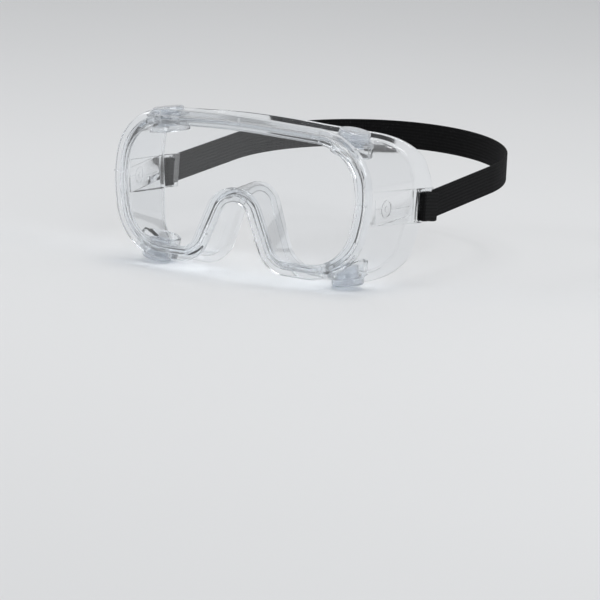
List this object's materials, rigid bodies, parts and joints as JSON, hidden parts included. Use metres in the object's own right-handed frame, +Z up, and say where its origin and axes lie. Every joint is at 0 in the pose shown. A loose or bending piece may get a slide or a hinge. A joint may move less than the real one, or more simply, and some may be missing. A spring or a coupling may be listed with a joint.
{
  "type": "safety goggles",
  "caption": "Clear splash goggles: soft frame with face flange, curved snap-in lens, capped round vents, and an elastic headband threaded through side lugs.",
  "frame": {"origin": "centre of the face opening, on the mirror plane", "axes": "+X towards the wearer's left, -Y the way the wearer looks, +Z up"},
  "size_m": [0.1716, 0.2345, 0.0907],
  "materials": {
    "clear_pvc": "clear soft PVC, polished",
    "lens": "clear polycarbonate, polished",
    "vent_plastic": "translucent milky plastic, satin",
    "elastic": "woven elastic, matt"
  },
  "bodies": {
    "mask": {"frame": "clear_pvc", "lens": "lens", "strap_end_left": "elastic", "strap_end_right": "elastic", "vent_seat_top_left": "vent_plastic", "vent_cap_top_left": "vent_plastic", "vent_seat_top_right": "vent_plastic", "vent_cap_top_right": "vent_plastic", "vent_seat_bottom_left": "vent_plastic", "vent_cap_bottom_left": "vent_plastic", "vent_seat_bottom_right": "vent_plastic", "vent_cap_bottom_right": "vent_plastic"},
    "headband": {"strap_band": "elastic"}
  },
  "joints": [
    {"name": "strap_swing", "type": "hinge", "parent": "mask", "child": "headband", "pos_m": [0, 0.0412, -0.0055], "axis": [1, 0, 0], "range_deg": [-15, 40]}
  ]
}
